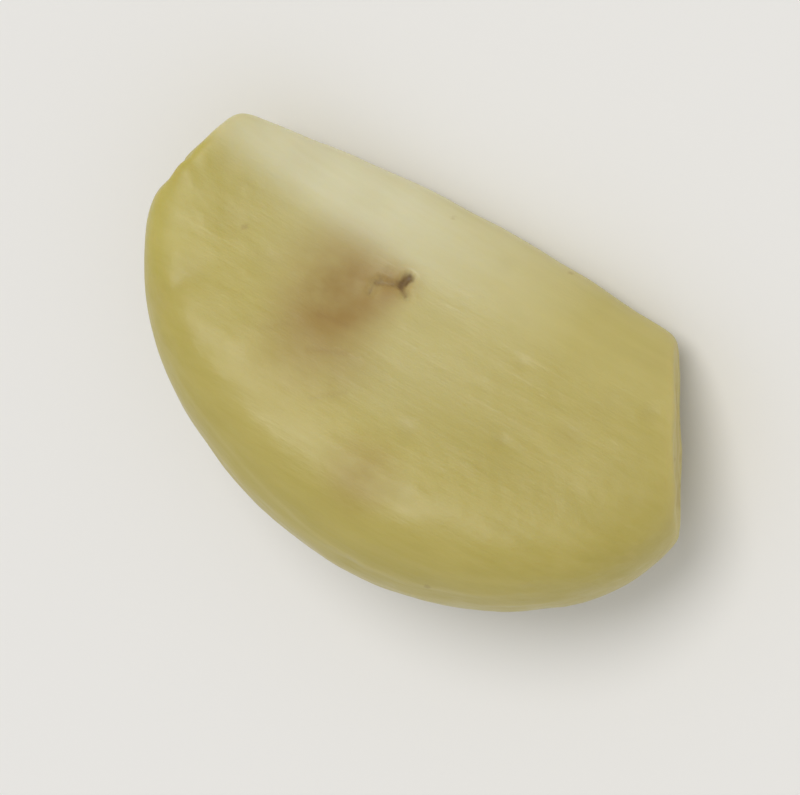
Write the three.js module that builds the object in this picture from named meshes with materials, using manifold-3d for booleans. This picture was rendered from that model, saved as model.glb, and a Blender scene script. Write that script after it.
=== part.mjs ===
// A peeled garlic clove, one solid piece of flesh, lying on one of its two flat side faces.
//
// Units are millimetres and +Z is up. +X runs from the trimmed root end to the tip, and +Y runs from the
// thin inner edge, which faced the middle of the bulb, to the round back. The origin is under the middle
// of the clove, on the surface that it lies on.

import * as THREE from "three";
import { LoftGeometry } from "three/addons/geometries/LoftGeometry.js";
import { mergeVertices } from "three/addons/utils/BufferGeometryUtils.js";
import Module from "manifold-3d";

// ---- overall size of the clove before its ends are trimmed ----
const ROOT_REACH = 12.7;          // from the belly, where the clove is widest, back towards the root
const TIP_REACH = 15.9;           // from the belly forward to the tip
const WIDTH = 16.0;               // inner edge to round back, at the belly
const THICKNESS = 11.3;           // side face to side face, at the belly

// ---- cross-section at the belly ----
const UPPER_FACE_TILT = 26;       // degrees that the upper side face drops towards the inner edge
const LOWER_FACE_TILT = 4;        // degrees that the lower side face rises towards the inner edge
const UPPER_FACE_HEIGHT = 4.4;    // from the section's centre to the upper side face
const LOWER_FACE_DEPTH = 4.4;     // from the section's centre to the lower side face
const INNER_EDGE_LEAN = 11;       // degrees that the inner edge's narrow facet leans back from upright
const INNER_EDGE_REACH = 10.2;    // from the section's centre to that facet
const BACK_REACH = 9.0;           // from the section's centre to the top of the round back
const BACK_HEIGHT = 6.6;          // half height of the superellipse that rounds the back
const BACK_ROUNDNESS = 2.4;       // 2 makes that an ellipse, and larger values give it a fuller shoulder
const EDGE_SHARPNESS = 7;         // 2 rounds the section's edges fully, and larger values sharpen them

// ---- how the section shrinks towards the two ends ----
const ROOT_END_LINE = 6.4;        // how far over from the inner edge the root end comes together
const TIP_END_LINE = 3.4;         // how far over from the inner edge the tip comes together
const BACK_FULLNESS = 1.92;       // 2 gives an elliptic outline, and larger values a fuller one
const INNER_FULLNESS = 9;         // high, so that the inner edge stays straight almost to both ends
const ROOT_THICKNESS_FULLNESS = 2.3; // the clove stays thick towards the root
const TIP_THICKNESS_FULLNESS = 1.8; // and thins steadily towards the tip
const INNER_EDGE_BOW = 0.25;      // how far the inner edge bows outwards between root and tip
const TIP_LIFT = 1.0;             // how far the middle of the tip stands above the middle of the belly
const ROOT_DROP = 0.3;            // how far the middle of the root end lies below it

// ---- flats ----
const ROOT_CUT_FROM_BELLY = 10.5; // from the belly to the root cut, along the clove's length
const ROOT_CUT_SLANT = 27;        // degrees that the root cut is turned in plan
const ROOT_CUT_SLOPE = -12;       // degrees that the root cut looks upwards, so it looks a little down
const TIP_CUT_FROM_BELLY = 14.6;  // from the belly to the blunt tip
const TIP_CUT_SLANT = 14;         // degrees that the blunt tip is turned in plan
const REST_FLAT_DEPTH = 0.5;      // how deep the flat that the clove rests on goes into its lower face

// ---- bruise on the upper side face ----
const BRUISE_AHEAD_OF_BELLY = 5.0; // from the belly to the bruise's middle, towards the tip
const BRUISE_FROM_INNER_EDGE = 4.3;
const BRUISE_WIDTH = 5.4;
const BRUISE_DEPTH = 0.35;

// ---- fineness of the mesh ----
const SECTION_POINTS = 72;
const STATIONS = 56;

const radians = THREE.MathUtils.degToRad;

// How far a straight wall, whose outside faces the given angle, lies between the centre and point (y, z):
// 1 is on the wall.
function wallLevel(y, z, facing, reach) {
  const angle = radians(facing);
  return Math.max(0, y * Math.cos(angle) + z * Math.sin(angle)) / reach;
}

// The same for the round back, a superellipse about the section's centre.
function backLevel(y, z) {
  const out = Math.max(0, y) / BACK_REACH;
  const up = Math.abs(z) / BACK_HEIGHT;
  return (out ** BACK_ROUNDNESS + up ** BACK_ROUNDNESS) ** (1 / BACK_ROUNDNESS);
}

// Level of the point (y, z) of the belly's section, which is 1 on the section's outline: a wedge of two side
// faces and a narrow inner facet, closed by the round back. The power mean rounds the edges between them.
function sectionLevel(y, z) {
  const levels = [
    backLevel(y, z),
    wallLevel(y, z, 90 + UPPER_FACE_TILT, UPPER_FACE_HEIGHT),
    wallLevel(y, z, -90 - LOWER_FACE_TILT, LOWER_FACE_DEPTH),
    wallLevel(y, z, 180 - INNER_EDGE_LEAN, INNER_EDGE_REACH),
  ];
  const total = levels.reduce((sum, level) => sum + level ** EDGE_SHARPNESS, 0);
  return total ** (1 / EDGE_SHARPNESS);
}

// The belly's section as points running anticlockwise from the back, fitted to WIDTH and THICKNESS.
// y goes from 0 at the inner edge to WIDTH, and z from -THICKNESS / 2 to THICKNESS / 2.
function bellySection() {
  const points = [];
  for (let i = 0; i < SECTION_POINTS; i++) {
    const angle = (2 * Math.PI * i) / SECTION_POINTS;
    const y = Math.cos(angle) * WIDTH;
    const z = Math.sin(angle) * THICKNESS;
    const level = sectionLevel(y, z);
    points.push(new THREE.Vector2(y / level, z / level));
  }
  const box = new THREE.Box2().setFromPoints(points);
  const size = box.getSize(new THREE.Vector2());
  return points.map((p) => new THREE.Vector2(
    ((p.x - box.min.x) / size.x) * WIDTH,
    ((p.y - box.min.y) / size.y - 0.5) * THICKNESS,
  ));
}

// A superellipse's quarter arch: 1 at the middle, 0 at the end.
function arch(share, fullness) {
  return Math.max(0, 1 - Math.abs(share) ** fullness) ** (1 / fullness);
}

// How deep the bruise is pressed into the upper side face over a place in plan: a smooth bell with no rim.
function bruiseDepth(x, y) {
  const away = Math.hypot(x - BRUISE_AHEAD_OF_BELLY, y - BRUISE_FROM_INNER_EDGE) / (BRUISE_WIDTH / 2);
  return away < 1 ? BRUISE_DEPTH * Math.cos(away * Math.PI / 2) ** 2 : 0;
}

// The section at a share of the way from the belly, -1 at the root's end and 1 at the tip's.
function sectionAt(share, belly) {
  const towardsRoot = share < 0;
  const x = share * (towardsRoot ? ROOT_REACH : TIP_REACH);
  const innerBow = INNER_EDGE_BOW * Math.cos(share * Math.PI / 2) ** 2;
  const endLine = towardsRoot ? ROOT_END_LINE : TIP_END_LINE;
  const inner = endLine - (endLine + innerBow) * arch(share, INNER_FULLNESS);
  const back = endLine + (WIDTH - endLine) * arch(share, BACK_FULLNESS);
  const thickness = arch(share, towardsRoot ? ROOT_THICKNESS_FULLNESS : TIP_THICKNESS_FULLNESS);
  const middle = share * share * (towardsRoot ? -ROOT_DROP : TIP_LIFT);
  return belly.map((p) => {
    const y = inner + (back - inner) * (p.x / WIDTH);
    const pressedIn = p.y > 0 ? bruiseDepth(x, y) : 0;
    return new THREE.Vector3(x, y, middle + p.y * thickness - pressedIn);
  });
}

// The whole clove before it is trimmed, lofted from the root's end to the tip's. Stations crowd together
// towards both ends, where the outline turns fastest.
function untrimmedClove() {
  const belly = bellySection();
  const sections = [];
  for (let i = 1; i < STATIONS; i++) {
    sections.push(sectionAt(-Math.cos((Math.PI * i) / STATIONS), belly));
  }
  return new LoftGeometry(sections, { closed: true, capStart: true, capEnd: true });
}

const wasm = await Module();
wasm.setup();

// A closed three.js geometry as a solid that can be cut.
function toSolid(geometry) {
  const bare = new THREE.BufferGeometry();
  bare.setAttribute("position", geometry.attributes.position);
  bare.setIndex(geometry.index);
  const merged = mergeVertices(bare, 1e-5);
  return new wasm.Manifold(new wasm.Mesh({
    numProp: 3,
    vertProperties: new Float32Array(merged.attributes.position.array),
    triVerts: new Uint32Array(merged.index.array),
  }));
}

function toGeometry(solid) {
  const mesh = solid.getMesh();
  const geometry = new THREE.BufferGeometry();
  geometry.setAttribute("position", new THREE.BufferAttribute(mesh.vertProperties, 3));
  geometry.setIndex(new THREE.BufferAttribute(mesh.triVerts, 1));
  geometry.computeVertexNormals();
  return geometry;
}

// Everything on the far side of a plane: a block with one face on the plane through the point.
function beyondPlane(point, outward) {
  const side = 4 * (ROOT_REACH + TIP_REACH);
  const block = new THREE.BoxGeometry(side, side, side);
  block.translate(0, 0, side / 2);
  block.applyQuaternion(new THREE.Quaternion().setFromUnitVectors(new THREE.Vector3(0, 0, 1), outward));
  block.translate(point.x, point.y, point.z);
  return toSolid(block);
}

// The trimmed root end: a flat cut that looks back, a little towards the inner edge and a little up.
function rootTrim() {
  const slant = radians(ROOT_CUT_SLANT);
  const slope = radians(ROOT_CUT_SLOPE);
  const outward = new THREE.Vector3(
    -Math.cos(slant) * Math.cos(slope),
    -Math.sin(slant) * Math.cos(slope),
    Math.sin(slope),
  );
  return beyondPlane(new THREE.Vector3(-ROOT_CUT_FROM_BELLY, ROOT_END_LINE / 2, 0), outward);
}

// The small blunt end of the tip, which looks forward and a little towards the inner edge.
function tipTrim() {
  const slant = radians(TIP_CUT_SLANT);
  const outward = new THREE.Vector3(Math.cos(slant), -Math.sin(slant), 0);
  return beyondPlane(new THREE.Vector3(TIP_CUT_FROM_BELLY, TIP_END_LINE / 2, TIP_LIFT), outward);
}

// The flat patch of the lower side face that the clove lies on.
function restTrim(lowest) {
  return beyondPlane(new THREE.Vector3(0, 0, lowest + REST_FLAT_DEPTH), new THREE.Vector3(0, 0, -1));
}

// The finished clove, moved so that its origin is under its middle, on the flat that it rests on.
function cloveGeometry() {
  const whole = untrimmedClove();
  whole.computeBoundingBox();
  const trimmed = toSolid(whole)
    .subtract(rootTrim())
    .subtract(tipTrim())
    .subtract(restTrim(whole.boundingBox.min.z));
  const geometry = toGeometry(trimmed);
  geometry.computeBoundingBox();
  const middle = geometry.boundingBox.getCenter(new THREE.Vector3());
  geometry.translate(-middle.x, -middle.y, -geometry.boundingBox.min.z);
  return geometry;
}

const flesh = new THREE.MeshStandardMaterial({ color: 0xd2c68e, roughness: 0.45, metalness: 0 });

const clove = new THREE.Mesh(cloveGeometry(), flesh);
clove.name = "clove";

const garlicClove = new THREE.Group();
garlicClove.add(clove);

export default garlicClove;
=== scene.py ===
# %% [markdown]
# # A peeled garlic clove
#
# A garlic clove is a wedge of juicy white flesh. It grew pressed between its neighbours, so it has two flat
# side faces that meet in a thin inner edge, and a round back that faced out of the bulb. This one is peeled:
# the papery skin is gone, the root end is trimmed off flat, and the tip is short and blunt. It is one piece
# of flesh, so it is one mesh with one material.
#
# The lesson has four steps: work out the clove's surface with numpy, press and wear the small marks into it,
# build the flesh material from layers, and light it softly on a pale table.

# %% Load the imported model
from math import cos, radians, sin

import bpy
import numpy as np
from mathutils import Matrix, Vector


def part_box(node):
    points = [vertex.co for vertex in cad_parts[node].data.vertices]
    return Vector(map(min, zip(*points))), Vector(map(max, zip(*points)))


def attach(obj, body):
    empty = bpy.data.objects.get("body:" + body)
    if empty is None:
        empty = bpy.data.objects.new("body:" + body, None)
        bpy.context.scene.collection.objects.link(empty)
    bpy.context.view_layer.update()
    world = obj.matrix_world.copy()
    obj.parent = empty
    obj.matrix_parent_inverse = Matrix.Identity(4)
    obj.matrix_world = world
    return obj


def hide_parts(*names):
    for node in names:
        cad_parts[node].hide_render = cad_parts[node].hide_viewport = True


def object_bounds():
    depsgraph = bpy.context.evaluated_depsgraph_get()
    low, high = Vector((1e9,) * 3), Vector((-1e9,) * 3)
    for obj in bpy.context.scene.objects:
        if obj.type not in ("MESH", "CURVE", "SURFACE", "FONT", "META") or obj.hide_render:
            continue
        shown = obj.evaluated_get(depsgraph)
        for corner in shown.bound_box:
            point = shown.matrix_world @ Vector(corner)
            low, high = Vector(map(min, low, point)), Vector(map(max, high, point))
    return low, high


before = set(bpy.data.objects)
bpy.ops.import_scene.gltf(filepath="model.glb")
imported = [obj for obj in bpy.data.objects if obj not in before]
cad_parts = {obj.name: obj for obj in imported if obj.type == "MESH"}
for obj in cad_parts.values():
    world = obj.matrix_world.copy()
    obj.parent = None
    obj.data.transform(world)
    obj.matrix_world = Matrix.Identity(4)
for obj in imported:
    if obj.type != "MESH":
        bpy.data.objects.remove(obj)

cad_low, cad_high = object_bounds()
clove_low, clove_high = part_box("clove")
print("the clove's solid measures, in mm:", [round(1000 * (h - l), 2) for l, h in zip(clove_low, clove_high)])

MM = 0.001

# %% [markdown]
# ## The cross-section
#
# Cut a clove across and the slice is a wedge: two nearly straight sides, a narrow facet where they meet, and
# a round back. It could be drawn as a polygon and bevelled, but the corners of a clove have no single radius.
# A power mean of wall levels does it in one formula. Each wall says how far a point lies between the centre
# and that wall, and the outline is where the mean of all walls is one. A high power gives tight corners, and
# a power of two would round everything to an ellipse.

# %% The section at the belly
# Lengths are in mm and tilts in degrees, here and in all the shaping that follows.
WIDTH = 16.0
THICKNESS = 11.3
UPPER_FACE_TILT = 26
LOWER_FACE_TILT = 4
UPPER_FACE_HEIGHT = 4.4
LOWER_FACE_DEPTH = 4.4
INNER_EDGE_LEAN = 11
INNER_EDGE_REACH = 10.2
BACK_REACH = 9.0
BACK_HEIGHT = 6.6
BACK_ROUNDNESS = 2.4
EDGE_SHARPNESS = 7


def wall_level(y, z, facing, reach):
    """How far (y, z) lies from the centre towards a straight wall that faces the given angle: the part of
    (y, z) along the wall's direction, over the wall's distance. It is 1 on the wall, and 0 behind the centre."""
    angle = np.radians(facing)
    return np.maximum(0, y * np.cos(angle) + z * np.sin(angle)) / reach


def back_level(y, z):
    """The round back, as a superellipse about the centre: full-bodied, with a soft shoulder."""
    out, up = np.maximum(0, y) / BACK_REACH, np.abs(z) / BACK_HEIGHT
    return (out ** BACK_ROUNDNESS + up ** BACK_ROUNDNESS) ** (1 / BACK_ROUNDNESS)


def section_level(y, z):
    """Power mean of the four walls: 1 on the section's outline."""
    walls = [
        back_level(y, z),
        wall_level(y, z, 90 + UPPER_FACE_TILT, UPPER_FACE_HEIGHT),
        wall_level(y, z, -90 - LOWER_FACE_TILT, LOWER_FACE_DEPTH),
        wall_level(y, z, 180 - INNER_EDGE_LEAN, INNER_EDGE_REACH),
    ]
    return sum(wall ** EDGE_SHARPNESS for wall in walls) ** (1 / EDGE_SHARPNESS)


def raw_section(angle):
    """A ray leaves the centre at each angle and stops where the level is 1. Levels grow in proportion to
    distance, so dividing any point on the ray by its level lands on the outline."""
    y, z = np.cos(angle) * WIDTH, np.sin(angle) * THICKNESS
    level = section_level(y, z)
    return y / level, z / level


ring_y, ring_z = raw_section(np.linspace(0, 2 * np.pi, 4000, endpoint=False))
section_low = np.array([ring_y.min(), ring_z.min()])
section_size = np.array([np.ptp(ring_y), np.ptp(ring_z)])


def belly_section(angle):
    """The raw section stretched to its true width and thickness: y from 0 at the inner edge, z about 0."""
    y, z = raw_section(angle)
    across = (y - section_low[0]) / section_size[0]
    up = (z - section_low[1]) / section_size[1] - 0.5
    return across * WIDTH, up * THICKNESS


print("the raw section came out", section_size.round(2), "mm, and is stretched to", (WIDTH, THICKNESS))

# %% [markdown]
# ## From section to body
#
# Along its length the clove swells from the root to the belly and then thins towards the tip. Each station
# along the length is the belly's section, stretched. Superellipse arches say by how much: one for the round
# back, a much squarer one for the inner edge, which stays straight almost to the ends, and one for the
# thickness.

# %% The body before its ends are trimmed
ROOT_REACH = 12.7
TIP_REACH = 15.9
ROOT_END_LINE = 6.4
TIP_END_LINE = 3.4
BACK_FULLNESS = 1.92
INNER_FULLNESS = 9
ROOT_THICKNESS_FULLNESS = 2.3
TIP_THICKNESS_FULLNESS = 1.8
INNER_EDGE_BOW = 0.25
TIP_LIFT = 1.0
ROOT_DROP = 0.3


def arch(share, fullness):
    """Quarter of a superellipse: 1 at the belly, falling to 0 where share reaches 1."""
    return np.maximum(0, 1 - np.abs(share) ** fullness) ** (1 / fullness)


def body_points(share, angle):
    """Points of the untrimmed clove in mm. share runs from -1 at the root through 0 at the belly to 1 at the
    tip, and angle runs once round the section. Both are arrays of one shape."""
    to_root = share < 0
    x = share * np.where(to_root, ROOT_REACH, TIP_REACH)
    end_line = np.where(to_root, ROOT_END_LINE, TIP_END_LINE)
    bow = INNER_EDGE_BOW * np.cos(share * np.pi / 2) ** 2
    inner = end_line - (end_line + bow) * arch(share, INNER_FULLNESS)
    back = end_line + (WIDTH - end_line) * arch(share, BACK_FULLNESS)
    thick = np.where(to_root, arch(share, ROOT_THICKNESS_FULLNESS), arch(share, TIP_THICKNESS_FULLNESS))
    middle = share * share * np.where(to_root, -ROOT_DROP, TIP_LIFT)
    across, up = belly_section(angle)
    y = inner + (back - inner) * across / WIDTH
    return np.stack([x, y, middle + up * thick], axis=-1)


# %% [markdown]
# ## Trimming the two ends
#
# The root end of a peeled clove is cut flat with a knife, on a slant, and the tip is snapped short. A boolean
# cut would leave long thin triangles along its rim, and the rim is where the light catches. Here every line
# that runs along the body is followed to the place where it meets the cut plane, found by halving the step
# again and again. The rings of the mesh then end exactly on the rim, and more rings carry on across the cut
# face to its middle.

# %% Where each lengthwise line meets the cuts
ROOT_CUT_FROM_BELLY = 10.5
ROOT_CUT_SLANT = np.radians(27)
ROOT_CUT_SLOPE = np.radians(-12)
TIP_CUT_FROM_BELLY = 14.6
TIP_CUT_SLANT = np.radians(14)

root_facing = np.array([
    -np.cos(ROOT_CUT_SLANT) * np.cos(ROOT_CUT_SLOPE),
    -np.sin(ROOT_CUT_SLANT) * np.cos(ROOT_CUT_SLOPE),
    np.sin(ROOT_CUT_SLOPE),
])
root_point = np.array([-ROOT_CUT_FROM_BELLY, ROOT_END_LINE / 2, 0])
tip_facing = np.array([np.cos(TIP_CUT_SLANT), -np.sin(TIP_CUT_SLANT), 0])
tip_point = np.array([TIP_CUT_FROM_BELLY, TIP_END_LINE / 2, TIP_LIFT])


def rim_share(angle, point, facing, inside, outside):
    """For every angle, the share at which the body crosses the plane. It starts between a share that is inside
    and one that is beyond the plane, and keeps the half that holds the crossing."""
    inside, outside = np.full_like(angle, inside), np.full_like(angle, outside)
    for _ in range(50):
        middle = (inside + outside) / 2
        beyond = (body_points(middle, angle) - point) @ facing > 0
        inside, outside = np.where(beyond, inside, middle), np.where(beyond, middle, outside)
    return (inside + outside) / 2


AROUND = 384
angles = 2 * np.pi * np.arange(AROUND) / AROUND
root_rim = rim_share(angles, root_point, root_facing, -0.2, -1.0)
tip_rim = rim_share(angles, tip_point, tip_facing, 0.2, 1.0)
print("the root cut crosses the body between", (root_rim.min() * ROOT_REACH).round(2), "and",
      (root_rim.max() * ROOT_REACH).round(2), "mm from the belly")

# %% The grid of rings: root face, body, tip face
ROOT_RINGS = 44
BODY_RINGS = 176
TIP_RINGS = 26
FINER_TO_RIM = 1.35


def crowded_to_ends(count):
    """Numbers from 0 to 1, closer together near both ends: part cosine steps and part even steps."""
    even = np.linspace(0, 1, count)
    return 0.55 * even + 0.45 * (0.5 - 0.5 * np.cos(np.pi * even))


def face_rings(rim, count):
    """Rings across a cut face, from its middle out to the rim: the middle plus a growing share of the way to
    each rim point. The steps get finer towards the rim. The first ring is the middle itself."""
    grow = 1 - (1 - np.linspace(0, 1, count, endpoint=False)) ** FINER_TO_RIM
    middle = rim.mean(axis=0)
    return middle + grow[:, None, None] * (rim - middle)


steps = crowded_to_ends(BODY_RINGS)[:, None]
shares = root_rim + (tip_rim - root_rim) * steps
body = body_points(shares, np.broadcast_to(angles, shares.shape))
root_face = face_rings(body[0], ROOT_RINGS)
tip_face = face_rings(body[-1], TIP_RINGS)[::-1]
clove = np.concatenate([root_face, body, tip_face])
first_body, last_body = ROOT_RINGS, ROOT_RINGS + BODY_RINGS - 1
ring = np.arange(len(clove))[:, None]
print(len(clove), "rings of", AROUND, "points")

# %% [markdown]
# ## Where the clove lies
#
# The clove lies on its hidden side face, whose middle was pressed flat against a neighbour in the bulb. The
# plane of that flat and the middle of the clove's box give the origin, so the surface lands exactly where the
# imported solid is.

# %% The height of the flat and the origin
REST_FLAT_DEPTH = 0.5

untrimmed = body_points(np.linspace(-0.9, 0.9, 181)[:, None] * np.ones(AROUND), angles * np.ones((181, 1)))
rest_height = untrimmed[..., 2].min() + REST_FLAT_DEPTH
crisp_low, crisp_high = clove.min(axis=(0, 1)), clove.max(axis=(0, 1))
crisp_low[2] = rest_height
origin = np.array([(crisp_low[0] + crisp_high[0]) / 2, (crisp_low[1] + crisp_high[1]) / 2, rest_height])
print("the surface measures", (crisp_high - crisp_low).round(2), "mm before its marks")

# %% [markdown]
# ## Soft edges
#
# Flesh has no knife-sharp edges for long: the rim of the cut dries and rounds over, and the tip is worn
# round. A bevel would give every edge one radius. Averaging each ring with its two neighbours rounds a sharp
# place more than a blunt one, as sanding would. It is repeated some fifty times, and only near the two rims,
# so the body keeps its shape.

# %% Rounding the two rims
ROOT_SANDING = 50
TIP_SANDING = 55
ROOT_ROUND_REACH = 16
TIP_ROUND_REACH = 20


def near(rim_row, reach):
    """1 on the rim's ring, falling smoothly to 0 at the given number of rings away."""
    away = np.clip(np.abs(ring - rim_row) / reach, 0, 1)
    return (0.5 + 0.5 * np.cos(np.pi * away))[..., None]


def sand(grid, weight, passes):
    """Every pass moves each ring towards the average of its neighbours, by its weight."""
    for _ in range(passes):
        average = (grid[:-2] + 2 * grid[1:-1] + grid[2:]) / 4
        grid[1:-1] += weight[1:-1] * (average - grid[1:-1])
    return grid


clove = sand(clove, near(first_body, ROOT_ROUND_REACH), ROOT_SANDING)
clove = sand(clove, near(last_body, TIP_ROUND_REACH), TIP_SANDING)
print("sanding moved the rims by up to", np.abs(clove[first_body] - body[0]).max().round(2), "and",
      np.abs(clove[last_body] - body[-1]).max().round(2), "mm")

# %% [markdown]
# ## Marks: how a displacement works
#
# Everything that happened to the clove is a small push along the surface's own normal, in mm: positive
# outwards, negative inwards. Sculpting by hand could not be repeated, but sums of simple shapes can. The
# normal is the cross product of the steps to the next point around the ring and to the next ring. All the
# pushes are added up first and applied once, so none of them distorts the next.

# %% Normals and the helpers for marks
seed = np.random.default_rng(20)


def surface_normals(grid):
    """Unit normals: the step around the ring crossed with the step along the clove. The middle of each cut
    face has no step around, so it takes the face's own direction."""
    along = np.gradient(grid, axis=0)
    around = np.roll(grid, -1, axis=1) - np.roll(grid, 1, axis=1)
    normal = np.cross(around, along)
    normal[0], normal[-1] = root_facing, tip_facing
    return normal / np.linalg.norm(normal, axis=-1, keepdims=True)


def waves(length, count):
    """Soft unevenness with no seam: sine waves in random directions through space, about one length long,
    added up and scaled to a spread of one."""
    direction = seed.normal(size=(count, 3))
    direction /= np.linalg.norm(direction, axis=1, keepdims=True)
    cycles = 2 * np.pi / (length * seed.uniform(0.7, 1.5, count))
    total = np.sin((clove @ direction.T) * cycles + seed.uniform(0, 2 * np.pi, count)).sum(axis=-1)
    return total / total.std()


def bell(distance, radius):
    """1 at distance 0, falling smoothly to 0 at the radius."""
    return np.where(distance < radius, np.cos(np.clip(distance / radius, 0, 1) * np.pi / 2) ** 2, 0)


def dot_at(spot, radius):
    """A round bell about a point of the surface."""
    return bell(np.linalg.norm(clove - spot, axis=-1), radius)


def scratch_between(start, end, half_width):
    """A bell about a straight line between two points: the distance to the nearest point of the line."""
    start, end = np.array(start, float), np.array(end, float)
    line = end - start
    share = np.clip((clove - start) @ line / (line @ line), 0, 1)[..., None]
    return bell(np.linalg.norm(clove - start - share * line, axis=-1), half_width)


def on_upper_face(x, y):
    """The point of the upper side face that is nearest to a place in plan."""
    plan = np.hypot(clove[..., 0] - x, clove[..., 1] - y) + 100 * (normals[..., 2] < 0.3)
    return clove.reshape(-1, 3)[plan.argmin()]


normals = surface_normals(clove)
push = np.zeros(clove.shape[:2])
print("normals point outwards at the back:", bool(normals[first_body + 60, 0, 1] > 0))

# %% [markdown]
# ## Uneven flesh and veins
#
# Nothing that grew is smooth. The flesh bulges and sinks a little over its whole length, with shorter ripples
# on top. Fine veins run from root to tip, so each one is a low ridge at one angle around the clove, and it
# wanders a little as it goes. They stand out on the round back and are nearly pressed flat on the side faces.

# %% Bulges and ripples
BULGE = 0.055
RIPPLE = 0.014
PUCKERING = 0.003

push += BULGE * waves(10.0, 16) + RIPPLE * waves(2.6, 26) + PUCKERING * waves(0.9, 40)

# %% Veins
VEIN_COUNT = 84
VEIN_HEIGHT = 0.014
VEIN_WANDER = 0.05
FLATTEST_VEIN = 0.12

vein_angle = seed.uniform(0, 2 * np.pi, VEIN_COUNT)
vein_width = seed.uniform(0.018, 0.042, VEIN_COUNT)
vein_strength = seed.uniform(0.2, 1.0, VEIN_COUNT)
body_share = np.clip((ring - first_body) / BODY_RINGS, 0, 1)
wander = VEIN_WANDER * np.sin(2 * np.pi * (body_share[..., None] * seed.uniform(0.5, 1.6, VEIN_COUNT)
                                           + seed.uniform(0, 1, VEIN_COUNT)))
turn = angles[None, :, None] - vein_angle - wander
turn = np.abs((turn + np.pi) % (2 * np.pi) - np.pi)
veins = (vein_strength * np.exp(-(turn / vein_width) ** 2)).sum(axis=-1)
veins *= np.sin(np.pi * body_share) ** 0.5 * np.clip(0.15 + 1.1 * normals[..., 1], FLATTEST_VEIN, 1)
push += VEIN_HEIGHT * veins
print("veins:", VEIN_COUNT, "up to", round(float((VEIN_HEIGHT * veins).max()), 3), "mm high")

# %% [markdown]
# ## The bruise
#
# On the upper side face, near the inner edge, the flesh took a knock. It sank in a shallow hollow, and beside
# the hollow a sharp corner tore a small nick into it. A few short scratches lead away. The hollow is a wide
# bell about a point, and a scratch is a narrow bell about a line. The nick is several short, deep scratches
# that meet, so it has no neat round rim.

# %% The hollow
BRUISE_AHEAD_OF_BELLY = 5.0
BRUISE_FROM_INNER_EDGE = 4.3
BRUISE_WIDTH = 5.4
BRUISE_DEPTH = 0.35

bruise_spot = on_upper_face(BRUISE_AHEAD_OF_BELLY, BRUISE_FROM_INNER_EDGE)
push -= BRUISE_DEPTH * dot_at(bruise_spot, BRUISE_WIDTH / 2)
print("the bruise sits", (bruise_spot - origin).round(1), "mm from the origin")

# %% The torn nick and the scratches
NICK_DEPTH = 0.26
SCRATCH_DEPTH = 0.012

NICK_STROKES = [
    (3.4, 2.5, 0.25, 0.45, 0.42, 1.0),
    (3.6, 2.95, 1.0, 0.35, 0.32, 0.55),
    (3.6, 2.9, -0.5, 0.3, 0.32, 0.65),
    (4.45, 3.1, 0.1, 0.6, 0.3, 0.5),
]
FINE_SCRATCHES = [
    (4.6, 5.3, 1.5, 0.2, 0.24, 1.0),
    (3.9, 6.3, 1.6, 0.6, 0.24, 0.7),
    (3.1, 7.6, 1.1, 0.9, 0.24, 0.5),
    (6.9, 6.4, 1.0, 0.7, 0.24, 0.4),
]


def strokes(rows):
    """Each row is a start in plan, a run from it, a half width and a strength. Where strokes meet, the
    stronger one counts."""
    total = np.zeros(clove.shape[:2])
    for x, y, run_x, run_y, half_width, strength in rows:
        start, end = on_upper_face(x, y), on_upper_face(x + run_x, y + run_y)
        total = np.maximum(total, strength * scratch_between(start, end, half_width))
    return total


nick, scratches = strokes(NICK_STROKES), strokes(FINE_SCRATCHES)
push -= NICK_DEPTH * nick + SCRATCH_DEPTH * scratches
print("the nick is up to", round(float((NICK_DEPTH * nick).max()), 2), "mm deep")

# %% [markdown]
# ## Dents
#
# Peeling and tumbling among other cloves leave small dents all over. Noise would give bumps as well as dents.
# So each dent is a shallow bell of its own, at a random point of the body. The random numbers come from a
# seeded generator, so every run gives the same clove.

# %% Small dents all over the body
DENT_COUNT = 46
DEEPEST_DENT = 0.06

dents = np.zeros(push.shape)
for row, column, radius, depth in zip(
    seed.integers(first_body + 8, last_body - 8, DENT_COUNT),
    seed.integers(0, AROUND, DENT_COUNT),
    seed.uniform(0.5, 1.9, DENT_COUNT),
    seed.uniform(0.015, DEEPEST_DENT, DENT_COUNT),
):
    dent = dot_at(clove[row, column], radius)
    push -= depth * dent
    dents = np.maximum(dents, dent * depth / DEEPEST_DENT)
print("dents:", DENT_COUNT, "that cover", round(100 * float((dents > 0).mean())), "percent of the points")

# %% [markdown]
# ## The trimmed root end
#
# The knife took off the hard root plate. What shows is a flat oval of flesh with the cut ends of the fibres
# that fed the clove, scattered in a loose ring a little way in from the rim. The cut dries, so the flesh inside
# the ring sinks slightly and some of the fibre ends stand up as faint dots. A share runs from 0 at the middle
# of the cut to 1 at its rim. The ring is then a place in that share, and it follows the outline of the cut
# without being drawn. The knife left faint lines too.

# %% The loose ring of fibre ends
FIBRE_ENDS = 22
FIBRE_RING = 0.56

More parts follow.
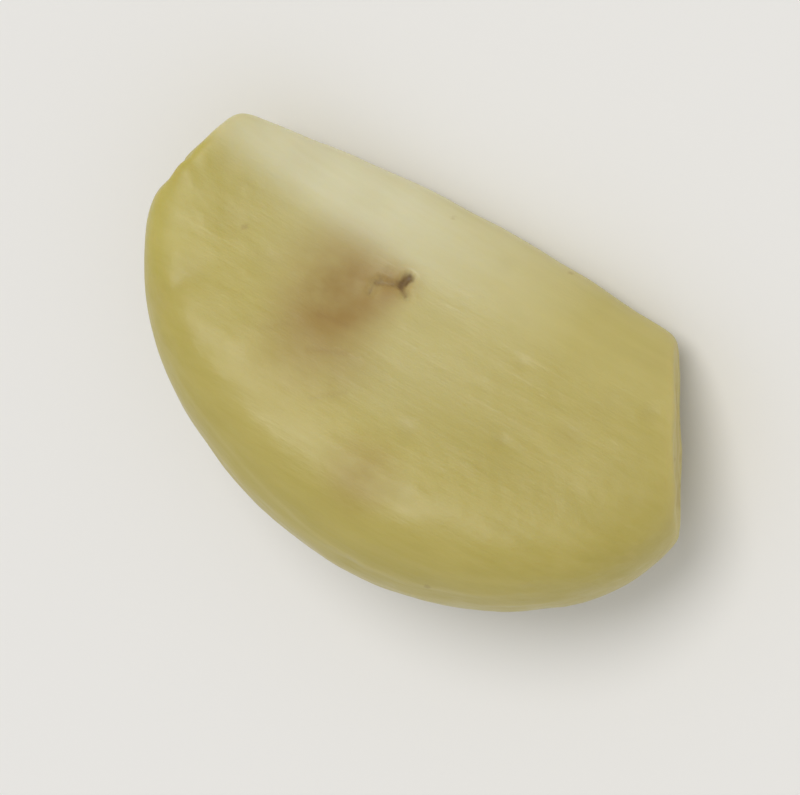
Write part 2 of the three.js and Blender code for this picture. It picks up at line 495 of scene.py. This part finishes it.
from_middle = np.clip(ring / ROOT_RINGS, 0, 1)
face_share = np.where(ring < first_body, 1 - (1 - from_middle) ** FINER_TO_RIM, 2.0) * np.ones(AROUND)
on_root_face = np.clip((1.0 - face_share) / 0.2, 0, 1)
fibre_angles = seed.uniform(0, 2 * np.pi, FIBRE_ENDS)
fibre_out = FIBRE_RING + seed.uniform(-0.16, 0.12, FIBRE_ENDS)
fibre_spots = root_face[0, 0] + fibre_out[:, None] * (
    body[0][(fibre_angles / (2 * np.pi) * AROUND).astype(int) % AROUND] - root_face[0, 0])
fibres = np.zeros(push.shape)
for spot, radius, strength in zip(fibre_spots, seed.uniform(0.2, 0.42, FIBRE_ENDS),
                                  seed.uniform(0.2, 1.0, FIBRE_ENDS)):
    fibres = np.maximum(fibres, strength * dot_at(spot, radius))
print("fibre ends:", FIBRE_ENDS)

# %% Dishing and knife lines of the root face
# The knife lines are about 0.9 mm apart, they wave a little, and they fade in and out along the cut.
DISHING = 0.10
FIBRE_HEIGHT = 0.03
CUT_UNEVENNESS = 0.03
KNIFE_LINE_HEIGHT = 0.008

uneven_ring = FIBRE_RING + 0.05 * np.sin(2 * angles + 1.0) + 0.03 * np.sin(5 * angles + 2.0)
inside_ring = 1 / (1 + np.exp((face_share - uneven_ring) / 0.09))
knife_lines = np.sin(clove[..., 2] * 7.0 + 1.6 * np.sin(clove[..., 1] * 0.9)) * np.sin(clove[..., 1] * 1.3)
push += on_root_face * (CUT_UNEVENNESS * waves(1.6, 20) - DISHING * inside_ring
                        + FIBRE_HEIGHT * fibres + KNIFE_LINE_HEIGHT * knife_lines)
print("the root face sinks by", DISHING, "mm inside the ring")

# %% [markdown]
# ## The tip
#
# The sprout would have come out of the tip. The flesh closes there in a small pucker, with a few low folds that
# run together into it, on an end that swells out gently instead of being cut off. The folds are a sine wave
# around the tip. Its peaks are shifted here and there, so they are not evenly spaced.

# %% Swelling, folds and pucker of the tip
TIP_SWELL = 0.12
FOLDS = 7
FOLD_HEIGHT = 0.045
PUCKER_DEPTH = 0.3
GREEN_REACH = 6.5

tip_middle = tip_face[-1, 0]
tip_out = np.clip((len(clove) - 1 - ring) / TIP_RINGS, 0, 1) * np.ones(AROUND)
from_pucker = np.linalg.norm(clove - tip_middle, axis=-1)
folds = np.sin(FOLDS * angles + 1.5 * np.sin(2 * angles)) * bell(np.abs(from_pucker - 1.1), 0.9)
pucker = np.maximum(dot_at(tip_middle, 0.9), 0.7 * dot_at(tip_middle + [0.1, 0.5, 0.1], 0.7))
push += TIP_SWELL * np.cos(tip_out * np.pi / 2) ** 2 + FOLD_HEIGHT * folds - PUCKER_DEPTH * pucker
tip_share = np.clip((clove[..., 0] - TIP_CUT_FROM_BELLY) / GREEN_REACH + 1, 0, 1)
print("tip swells out by", TIP_SWELL, "mm, and its pucker is", PUCKER_DEPTH, "mm deep")

# %% [markdown]
# ## Putting it together
#
# The pushes are applied, and whatever reaches below the rest flat is lifted onto it with a soft maximum,
# which is a maximum whose corner is rounded by a small length. Then the grid becomes a mesh: quads between
# the rings, and a fan of triangles at each face's middle.

# %% Applying the marks and resting the clove
REST_EDGE = 0.05

clove = clove + push[..., None] * normals
clove[..., 2] = rest_height + REST_EDGE * np.logaddexp(0, (clove[..., 2] - rest_height) / REST_EDGE)
surface = (clove - origin) * MM
print("lowest point:", round(float(surface[..., 2].min()) * 1e6, 2), "micrometres")

# %% Grid to mesh


def flat_list(grid):
    """The grid's rings as one list of points, with one point for each middle: root middle, rings, tip middle."""
    return np.concatenate([grid[0, :1], grid[1:-1].reshape(-1, *grid.shape[2:]), grid[-1, :1]])


points = flat_list(surface)
rings_between = len(surface) - 2
index = 1 + np.arange(rings_between * AROUND).reshape(rings_between, AROUND)
after = np.roll(index, -1, axis=1)
quads = np.stack([index[:-1], after[:-1], after[1:], index[1:]], axis=-1).reshape(-1, 4)
root_fan = np.stack([np.zeros(AROUND, int), after[0], index[0]], axis=-1)
tip_fan = np.stack([index[-1], after[-1], np.full(AROUND, len(points) - 1)], axis=-1)

mesh = bpy.data.meshes.new("clove_flesh")
mesh.from_pydata(points, [], quads.tolist() + root_fan.tolist() + tip_fan.tolist())
mesh.polygons.foreach_set("use_smooth", np.ones(len(mesh.polygons), bool))
mesh.validate()
print("clove mesh:", len(mesh.vertices), "points and", 2 * len(quads) + 2 * AROUND, "triangles")

# %% [markdown]
# ## Masks for the material
#
# The material has to tint the same places that were pressed, so the masks go along as attributes, one number
# for each point. Painted textures could do it too, but they would have to be laid out flat first. Colours fade
# into each other on flesh, so the masks of the painted highlight on the thin edge and of the dried cut are
# sanded like the rims.

# %% Brown stains of the bruise and the nick, and one spot of painted shade
# Each is a place in plan, a radius and a strength.
HAZE_AND_SHADE_SPOTS = [
    (6.1, 4.1, 4.0, 0.8),
    (4.5, 3.9, 2.8, 0.4),
    (3.5, 3.1, 1.5, 0.45),
    (5.4, 6.4, 4.2, 0.6),
    # This last spot, on the shoulder towards the back and away from the bruise, is painted shade.
    (0.6, 10.2, 2.6, 0.6),
]
NICK_STAIN = [(4.35, 3.0, 1.15, 0.45)]


def stains(rows):
    """The sum of round bells on the upper side face."""
    return sum(strength * dot_at(on_upper_face(x, y), radius) for x, y, radius, strength in rows)


haze_and_shade = np.clip(stains(HAZE_AND_SHADE_SPOTS), 0, 1)
torn_brown = np.maximum(nick, stains(NICK_STAIN))
print("the haze covers", round(100 * float((haze_and_shade > 0.1).mean())), "percent of the points")

# %% The painted highlight on the thin edge, and the dried cut
# A point gets the painted highlight of the thin edge when its normal leans inwards far enough, and the
# highlight grows from a place near the root towards the tip.
PALE_FROM_LEAN = 0.49
PALE_LEAN_STEP = 0.13
PALE_FROM_X = -6
PALE_LENGTH = 10
FAINTEST_PALE = 0.12


def smudge(mask, passes):
    """Every pass moves each number towards the average of its neighbours around the ring."""
    for _ in range(passes):
        mask = (np.roll(mask, 1, axis=1) + 2 * mask + np.roll(mask, -1, axis=1)) / 4
    return mask


towards_tip = np.clip((surface[..., 0] / MM - PALE_FROM_X) / PALE_LENGTH, 0, 1)
painted_edge_highlight = np.clip((-normals[..., 1] - PALE_FROM_LEAN) / PALE_LEAN_STEP, 0, 1)
painted_edge_highlight = painted_edge_highlight * (FAINTEST_PALE + (1 - FAINTEST_PALE) * towards_tip)
painted_edge_highlight = smudge(sand(painted_edge_highlight, near(last_body, 60)[..., 0], 500), 30)

dried_cut = np.clip((1.04 - face_share) / 0.1, 0, 1)
dried_cut = sand(dried_cut, near(first_body, 26)[..., 0], 140)
print("the thin edge is palest at", painted_edge_highlight.max().round(2))

# %% The masks as attributes
masks = {
    "bruise_and_shade": haze_and_shade,
    "nick": torn_brown,
    "scratches": scratches,
    "dents": dents,
    "veins": np.clip(veins, 0, 1),
    "root_face": dried_cut,
    "inside_ring": inside_ring * on_root_face,
    "fibres": on_root_face * fibres,
    "tip": tip_share ** 1.5,
    "pucker": np.clip(pucker + 0.3 * bell(from_pucker, 2.0), 0, 1),
    "painted_edge_highlight": painted_edge_highlight,
}
for name, mask in masks.items():
    layer = mesh.attributes.new(name, "FLOAT", "POINT")
    layer.data.foreach_set("value", flat_list(mask).astype(np.float32))
print("masks:", ", ".join(masks))

# %% The piece
clove_piece = bpy.data.objects.new("clove_flesh", mesh)
bpy.context.scene.collection.objects.link(clove_piece)
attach(clove_piece, "root")
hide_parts("clove")

# %% [markdown]
# # The flesh
#
# Garlic flesh is waxy and slightly translucent. Light goes about a millimetre in and comes out again, which
# softens every shadow. Its colour is never even: cream with a yellow-green cast, greener towards the tip,
# brown where it was bruised, and a paler strip along the inner edge is a painted highlight. One flat colour
# would look like plastic, so the colour is built in layers. Each layer mixes the colour so far with a new one,
# by a mask.

# %% Helpers for building a node tree


def srgb(red, green, blue):
    """A colour as a paint chart gives it, 0 to 255, turned into the light values that shaders use."""
    share = np.array([red, green, blue]) / 255
    linear = np.where(share <= 0.04045, share / 12.92, ((share + 0.055) / 1.055) ** 2.4)
    return (*linear.tolist(), 1.0)


def place_node(tree, kind, settings=None, **inputs):
    """Adds a node. Settings are its own properties. An input is a number, a colour or another node's socket,
    and underscores in its name stand for spaces."""
    made = tree.nodes.new(kind)
    for key, value in (settings or {}).items():
        setattr(made, key, value)
    for key, value in inputs.items():
        socket = made.inputs[key.replace("_", " ")]
        if isinstance(value, bpy.types.NodeSocket):
            tree.links.new(value, socket)
        else:
            socket.default_value = value
    return made


def mask_range(tree, value, low, high):
    """0 where the value is at low or under, 1 at high or over, and a smooth step between them."""
    step = place_node(tree, "ShaderNodeMapRange", {"interpolation_type": "SMOOTHSTEP"},
                      Value=value, From_Min=low, From_Max=high)
    return step.outputs["Result"]


def maths(tree, operation, first, second):
    """Two numbers combined."""
    made = tree.nodes.new("ShaderNodeMath")
    made.operation = operation
    for socket, value in zip(made.inputs, (first, second)):
        if isinstance(value, bpy.types.NodeSocket):
            tree.links.new(value, socket)
        else:
            socket.default_value = value
    return made.outputs[0]


# %% [markdown]
# ## Patches
#
# Most layers need the same kind of mask: soft blotches of some size, drawn out along the clove by some
# amount, because flesh grows lengthwise. It is a noise texture with its range narrowed, in a node group with
# the size and the stretch as inputs.

# %% The patches node group
patches = bpy.data.node_groups.new("Patches", "ShaderNodeTree")
for label, kind, value in [("Patch Size", "NodeSocketFloat", 0.005), ("Stretch", "NodeSocketFloat", 2.0),
                           ("Seed", "NodeSocketFloat", 0.0), ("Contrast", "NodeSocketFloat", 2.0)]:
    patches.interface.new_socket(label, in_out="INPUT", socket_type=kind).default_value = value
patches.interface.new_socket("Mask", in_out="OUTPUT", socket_type="NodeSocketFloat")

given = patches.nodes.new("NodeGroupInput").outputs
coordinates = place_node(patches, "ShaderNodeTexCoord").outputs["Object"]
along_share = maths(patches, "DIVIDE", 1.0, given["Stretch"])
stretch = place_node(patches, "ShaderNodeCombineXYZ", X=along_share, Y=1.0, Z=1.0).outputs[0]
drawn_out = patches.nodes.new("ShaderNodeVectorMath")
drawn_out.operation = "MULTIPLY"
patches.links.new(coordinates, drawn_out.inputs[0])
patches.links.new(stretch, drawn_out.inputs[1])
noise = place_node(patches, "ShaderNodeTexNoise", {"noise_dimensions": "4D"}, Vector=drawn_out.outputs[0],
                   W=given["Seed"], Scale=maths(patches, "DIVIDE", 1.0, given["Patch Size"]),
                   Detail=4.0, Roughness=0.55)
centred = maths(patches, "SUBTRACT", noise.outputs["Fac"], 0.5)
steep = maths(patches, "MULTIPLY", centred, given["Contrast"])
mask_out = place_node(patches, "ShaderNodeClamp", Value=maths(patches, "ADD", steep, 0.5))
patches.links.new(mask_out.outputs[0], patches.nodes.new("NodeGroupOutput").inputs["Mask"])
print("patches group has", len(patches.nodes), "nodes")

# %% The flesh material and its way of stacking layers
flesh = bpy.data.materials.new("flesh")
flesh.use_nodes = True
tree = flesh.node_tree
tree.nodes.clear()


def patch_mask(size, stretch, number, contrast):
    """Soft blotches of a size in metres. Every number gives another pattern."""
    group = tree.nodes.new("ShaderNodeGroup")
    group.node_tree = patches
    for label, value in [("Patch Size", size), ("Stretch", stretch), ("Seed", number), ("Contrast", contrast)]:
        group.inputs[label].default_value = value
    return group.outputs["Mask"]


def pressed(name):
    """A mask that came along with the surface."""
    return place_node(tree, "ShaderNodeAttribute", {"attribute_name": name}).outputs["Fac"]


def layer_over(under, colour, mask):
    """The colour so far, mixed with a new one by a mask."""
    mix = tree.nodes.new("ShaderNodeMix")
    mix.data_type = "RGBA"
    tree.links.new(mask, mix.inputs["Factor"])
    for socket, value in ((mix.inputs[6], under), (mix.inputs[7], colour)):
        if isinstance(value, bpy.types.NodeSocket):
            tree.links.new(value, socket)
        else:
            socket.default_value = value
    return mix.outputs[2]


def faint(mask, share):
    """A mask brought down to a share of its strength."""
    return maths(tree, "MULTIPLY", mask, share)


# %% [markdown]
# ## Cream, green and pale layers
#
# The first layers are the colours of sound flesh: a cream ground, wide olive-yellow patches and a slightly
# greener tint that gathers at the tip. On top of them goes a paler strip along the inner edge, a painted
# highlight where that edge faces the lamp. The strip is found by how far the surface faces inwards, and it is
# strongest towards the tip. The veins are a little paler than the rest, and very fine streaks, light and dark,
# run lengthwise.

# %% Sound flesh
CREAM = srgb(187, 173, 90)
OLIVE = srgb(172, 158, 76)
LIGHT_PATCH = srgb(196, 182, 107)
TIP_GREEN = srgb(186, 175, 85)
PALE_HIGHLIGHT = srgb(216, 211, 176)
VEIN_PALE = srgb(208, 197, 142)
LIGHT_STREAK = srgb(206, 193, 128)
DARK_STREAK = srgb(150, 136, 64)

olive_patches = patch_mask(size=0.009, stretch=1.6, number=1.0, contrast=2.6)
light_patches = patch_mask(size=0.0036, stretch=2.5, number=2.0, contrast=3.0)
green_patches = patch_mask(size=0.004, stretch=1.5, number=3.0, contrast=2.0)
highlight_strip_patches = patch_mask(size=0.003, stretch=3.0, number=8.0, contrast=1.6)
light_streaks = patch_mask(size=0.00045, stretch=24.0, number=12.0, contrast=3.4)
dark_streaks = patch_mask(size=0.0007, stretch=9.0, number=10.0, contrast=2.2)
green_mask = maths(tree, "MULTIPLY", pressed("tip"), green_patches)
highlight_strip_mask = maths(tree, "MULTIPLY", pressed("painted_edge_highlight"), mask_range(tree, highlight_strip_patches, -0.4, 0.7))

colour = layer_over(CREAM, OLIVE, olive_patches)
colour = layer_over(colour, LIGHT_PATCH, faint(light_patches, 0.35))
colour = layer_over(colour, TIP_GREEN, faint(green_mask, 0.9))
# The pale strip along the inner edge is a painted highlight.
colour = layer_over(colour, PALE_HIGHLIGHT, highlight_strip_mask)
colour = layer_over(colour, VEIN_PALE, faint(pressed("veins"), 0.26))
colour = layer_over(colour, LIGHT_STREAK, faint(light_streaks, 0.16))
colour = layer_over(colour, DARK_STREAK, faint(dark_streaks, 0.07))
print("nodes after the sound flesh:", len(tree.nodes))

# %% [markdown]
# ## Bruise, nick and dried cut
#
# Damaged flesh turns brown in the air. The bruise is a wide brown haze broken up by patches, darkest in the torn
# nick. One spot of that haze, on the shoulder towards the back, is painted shade, and so is the darkening of
# the dents. The cut root end dries to straw, painted a little lighter against the shade the lamp leaves on it,
# a little darker inside the ring of fibre ends, and the pucker of the tip is dry as well.

# %% Damaged and dried flesh
BRUISE_BROWN = srgb(147, 110, 46)
SCRATCH_BROWN = srgb(148, 118, 64)
PAINTED_DENT_SHADE = srgb(160, 140, 84)
NICK_BROWN = srgb(108, 78, 32)
STRAW_WITH_PAINTED_LIGHT = srgb(198, 184, 118)
DARK_STRAW = srgb(186, 168, 96)
FIBRE_BROWN = srgb(150, 121, 72)
PUCKER_BROWN = srgb(160, 142, 78)

haze_patches = patch_mask(size=0.0026, stretch=1.2, number=4.0, contrast=1.6)
torn_patches = patch_mask(size=0.0008, stretch=1.0, number=9.0, contrast=2.0)
haze_and_shade_mask = maths(tree, "MULTIPLY", pressed("bruise_and_shade"), mask_range(tree, haze_patches, -0.3, 0.7))
torn = maths(tree, "ADD", pressed("nick"), faint(torn_patches, 0.5))
ragged = maths(tree, "MULTIPLY", mask_range(tree, torn, 0.5, 1.2), mask_range(tree, pressed("nick"), 0.0, 0.25))

# The haze is the bruise's brown stain, and on the shoulder towards the back it is painted shade.
colour = layer_over(colour, BRUISE_BROWN, faint(haze_and_shade_mask, 0.8))
colour = layer_over(colour, SCRATCH_BROWN, faint(pressed("scratches"), 0.3))
# The dents are darkened with painted shade.
colour = layer_over(colour, PAINTED_DENT_SHADE, faint(pressed("dents"), 0.12))
colour = layer_over(colour, NICK_BROWN, faint(ragged, 0.85))
# The straw is the dried cut's colour, painted lighter against the shade the lamp leaves on the root face.
colour = layer_over(colour, STRAW_WITH_PAINTED_LIGHT, faint(pressed("root_face"), 0.7))
colour = layer_over(colour, DARK_STRAW, faint(pressed("inside_ring"), 0.6))
colour = layer_over(colour, FIBRE_BROWN, faint(pressed("fibres"), 0.4))
colour = layer_over(colour, PUCKER_BROWN, faint(pressed("pucker"), 0.35))
print("nodes after the damage:", len(tree.nodes))

# %% [markdown]
# ## Specks
#
# A few tiny brown specks lie scattered on the flesh. Noise would make blotches that run together. A Voronoi
# texture gives every cell a point, and only the points whose cell drew a high random number are used. A little
# noise added to the distance makes the specks uneven.

# %% Specks
SPECK_CELLS_PER_METRE = 520.0
SPECK_BROWN = srgb(140, 112, 62)

coordinates = place_node(tree, "ShaderNodeTexCoord").outputs["Object"]
cells = place_node(tree, "ShaderNodeTexVoronoi", Vector=coordinates, Scale=SPECK_CELLS_PER_METRE)
wobble = faint(patch_mask(size=0.0004, stretch=1.0, number=11.0, contrast=3.0), 0.1)
near_point = mask_range(tree, maths(tree, "ADD", cells.outputs["Distance"], wobble), 0.17, 0.07)
drawn = place_node(tree, "ShaderNodeSeparateColor", Color=cells.outputs["Color"]).outputs["Red"]
speck_mask = maths(tree, "MULTIPLY", near_point, mask_range(tree, drawn, 0.9, 0.94))
colour = layer_over(colour, SPECK_BROWN, faint(speck_mask, 0.35))

# %% [markdown]
# ## Shine and fine grain
#
# Moist flesh has a broad soft shine, broken up where it is bruised or dry. Fine grain, too small for the
# mesh, goes in as bump: cells drawn out along the clove, and a finer tooth that only shows in the shine. A
# thin coat stands for the moisture. Of the light that enters the flesh, red goes furthest.

# %% Roughness, bump and the shader itself
SMOOTHEST = 0.33

dull_patches = patch_mask(size=0.0014, stretch=2.0, number=5.0, contrast=2.4)
rough = maths(tree, "ADD", SMOOTHEST, faint(dull_patches, 0.16))
dry = maths(tree, "MAXIMUM", maths(tree, "MAXIMUM", haze_and_shade_mask, pressed("root_face")), pressed("nick"))
rough = maths(tree, "ADD", rough, faint(dry, 0.16))

fibre_lines = patch_mask(size=0.0006, stretch=12.0, number=6.0, contrast=1.6)
cells_of_flesh = patch_mask(size=0.0004, stretch=1.6, number=7.0, contrast=1.6)
height = maths(tree, "ADD", faint(fibre_lines, 0.6), faint(cells_of_flesh, 0.4))
bump = place_node(tree, "ShaderNodeBump", Strength=0.4, Distance=0.0001, Height=height)

shader = place_node(tree, "ShaderNodeBsdfPrincipled", Base_Color=colour, Roughness=rough,
                    Normal=bump.outputs["Normal"])
shader.inputs["IOR"].default_value = 1.4
shader.inputs["Subsurface Weight"].default_value = 0.4
shader.inputs["Subsurface Radius"].default_value = (1.0, 0.72, 0.3)
shader.inputs["Subsurface Scale"].default_value = 0.001
shader.inputs["Coat Weight"].default_value = 0.14
shader.inputs["Coat Roughness"].default_value = 0.28
place_node(tree, "ShaderNodeOutputMaterial", Surface=shader.outputs[0])
clove_piece.data.materials.append(flesh)
print("flesh material has", len(tree.nodes), "nodes")

# %% [markdown]
# # Table, light and camera
#
# The table is plain and pale. One broad soft lamp shines from high up beyond the inner edge, a little towards
# the tip, so that the thin edge catches the light. A lamp close by would leave a bright pool on the table. This
# one is as far away as the sun, so the table is evenly bright to its edge. The pale room opens the shadows.

# %% The table
TABLE_RADIUS = 2.5

table_angle = np.linspace(0, 2 * np.pi, 96, endpoint=False)
table_points = TABLE_RADIUS * np.stack([np.cos(table_angle), np.sin(table_angle), 0 * table_angle], axis=-1)
table_mesh = bpy.data.meshes.new("table")
table_mesh.from_pydata(table_points.tolist(), [], [list(range(len(table_points)))])
table = bpy.data.objects.new("table", table_mesh)
table.location.z = -0.00002
bpy.context.scene.collection.objects.link(table)
table_finish = bpy.data.materials.new("pale_table")
table_finish.use_nodes = True
table_shader = table_finish.node_tree.nodes["Principled BSDF"]
table_shader.inputs["Base Color"].default_value = srgb(240, 239, 237)
table_shader.inputs["Roughness"].default_value = 0.7
table_mesh.materials.append(table_finish)

# %% The camera
# It looks down on the upper side face, leaning a little towards the inner edge and the root.
CAMERA_AZIMUTH = radians(330)
CAMERA_ELEVATION = radians(67)
TIP_UP_LEFT = radians(180 - 30)
CAMERA_DISTANCE = 0.30

towards_camera = Vector((
    sin(CAMERA_AZIMUTH) * cos(CAMERA_ELEVATION),
    -cos(CAMERA_AZIMUTH) * cos(CAMERA_ELEVATION),
    sin(CAMERA_ELEVATION),
))
lengthwise = (Vector((1, 0, 0)) - towards_camera * towards_camera.x).normalized()
crosswise = towards_camera.cross(lengthwise)
picture_right = lengthwise * cos(TIP_UP_LEFT) - crosswise * sin(TIP_UP_LEFT)
picture_up = lengthwise * sin(TIP_UP_LEFT) + crosswise * cos(TIP_UP_LEFT)

clove_middle = (cad_low + cad_high) / 2
camera_data = bpy.data.cameras.new("camera")
camera_data.lens = 300
camera_data.clip_start = 0.01
camera = bpy.data.objects.new("camera", camera_data)
turn_camera = Matrix((picture_right, picture_up, towards_camera)).transposed().to_4x4()
camera.matrix_world = Matrix.Translation(clove_middle + towards_camera * CAMERA_DISTANCE) @ turn_camera
bpy.context.scene.collection.objects.link(camera)
bpy.context.scene.camera = camera
print("camera looks from", [round(v, 3) for v in camera.matrix_world.translation])

# %% The lamp
KEY_STRENGTH = 1.2

key_data = bpy.data.lights.new("key", "SUN")
key_data.energy = KEY_STRENGTH
key_data.angle = radians(28)
key_data.color = (1.0, 0.98, 0.95)
key = bpy.data.objects.new("key", key_data)
key_from = picture_right * -0.22 + picture_up * 0.16 + towards_camera * 0.60
key.matrix_world = key_from.to_track_quat("Z", "Y").to_matrix().to_4x4()
bpy.context.scene.collection.objects.link(key)
print("the key light shines from", [round(v, 2) for v in key_from.normalized()])

# %% The room
# Its walls are as bright as the table looks from far off, so the table has no hard edge against them.
WALL_STRENGTH = 0.78
CEILING_STRENGTH = 0.56

room = bpy.data.worlds.new("room")
room.use_nodes = True
backdrop = room.node_tree.nodes["Background"]
backdrop.inputs["Color"].default_value = (1.0, 1.0, 0.99, 1)
direction = place_node(room.node_tree, "ShaderNodeTexCoord").outputs["Generated"]
height_up = place_node(room.node_tree, "ShaderNodeSeparateXYZ", Vector=direction).outputs["Z"]
brightness = place_node(room.node_tree, "ShaderNodeMapRange", {"interpolation_type": "SMOOTHSTEP"},
                        Value=height_up, From_Min=0.0, From_Max=0.45,
                        To_Min=WALL_STRENGTH, To_Max=CEILING_STRENGTH)
room.node_tree.links.new(brightness.outputs["Result"], backdrop.inputs["Strength"])
bpy.context.scene.world = room
bpy.context.scene.view_settings.view_transform = "Standard"

# %% Measure and finish
print("box of the solid, mm:", [round(1000 * v, 2) for v in (*cad_low, *cad_high)])
